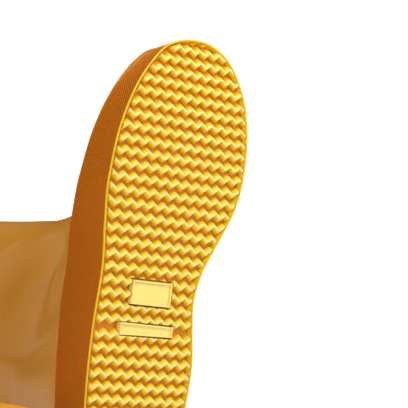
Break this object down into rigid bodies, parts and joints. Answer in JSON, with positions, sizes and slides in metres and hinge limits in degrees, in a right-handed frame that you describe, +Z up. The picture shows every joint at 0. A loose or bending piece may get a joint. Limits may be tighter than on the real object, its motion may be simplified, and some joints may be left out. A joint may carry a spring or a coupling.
{
  "type": "deck boots",
  "caption": "Pull-on rubber deck boots with zigzag-tread soles, knurled foxing bands, glossy shafts, knit linings and removable footbeds.",
  "frame": {"origin": "centre of the pair's box in X and Y, on the floor that both boots rest on", "axes": "+X from the heel to the toe of the standing left boot, and on to the right boot; +Z up; the sole of the right boot, which lies on its back, faces -Y"},
  "size_m": [0.4666, 0.3512, 0.2901],
  "materials": {
    "upper_rubber": "glossy golden yellow",
    "foxing_rubber": "fine diagonal knurl",
    "sole_rubber": "satin moulded rubber",
    "lining_knit": "fine knit",
    "filler_rubber": "matte",
    "insole_board": "pressed fibre board",
    "footbed_foam": "knit-topped foam",
    "shank_steel": "plain"
  },
  "bodies": {
    "right_boot": {"right_outsole": "sole_rubber", "right_sole_rim": "sole_rubber", "right_foxing": "foxing_rubber", "right_waist_panel": "sole_rubber", "right_breast_bar": "sole_rubber", "right_heel_filler": "filler_rubber", "right_midsole_filler": "filler_rubber", "right_shank": "shank_steel", "right_insole_board": "insole_board", "right_upper": "upper_rubber", "right_lining": "lining_knit", "right_toe_cap": "upper_rubber", "right_heel_counter": "upper_rubber", "right_top_band": "upper_rubber"},
    "left_boot": {"left_outsole": "sole_rubber", "left_sole_rim": "sole_rubber", "left_foxing": "foxing_rubber", "left_waist_panel": "sole_rubber", "left_breast_bar": "sole_rubber", "left_heel_filler": "filler_rubber", "left_midsole_filler": "filler_rubber", "left_shank": "shank_steel", "left_insole_board": "insole_board", "left_upper": "upper_rubber", "left_lining": "lining_knit", "left_toe_cap": "upper_rubber", "left_heel_counter": "upper_rubber", "left_top_band": "upper_rubber"},
    "right_footbed_body": {"right_footbed": "footbed_foam"},
    "left_footbed_body": {"left_footbed": "footbed_foam"}
  },
  "joints": [
    {"name": "left_lift", "type": "slide", "parent": "right_boot", "child": "left_boot", "axis": [0, 0, 1], "range_m": [0, 0.4]},
    {"name": "right_footbed_lift", "type": "slide", "parent": "right_boot", "child": "right_footbed_body", "axis": [0, 1, 0], "range_m": [0, 0.004]},
    {"name": "left_footbed_lift", "type": "slide", "parent": "left_boot", "child": "left_footbed_body", "axis": [0, 0, 1], "range_m": [0, 0.004]}
  ]
}
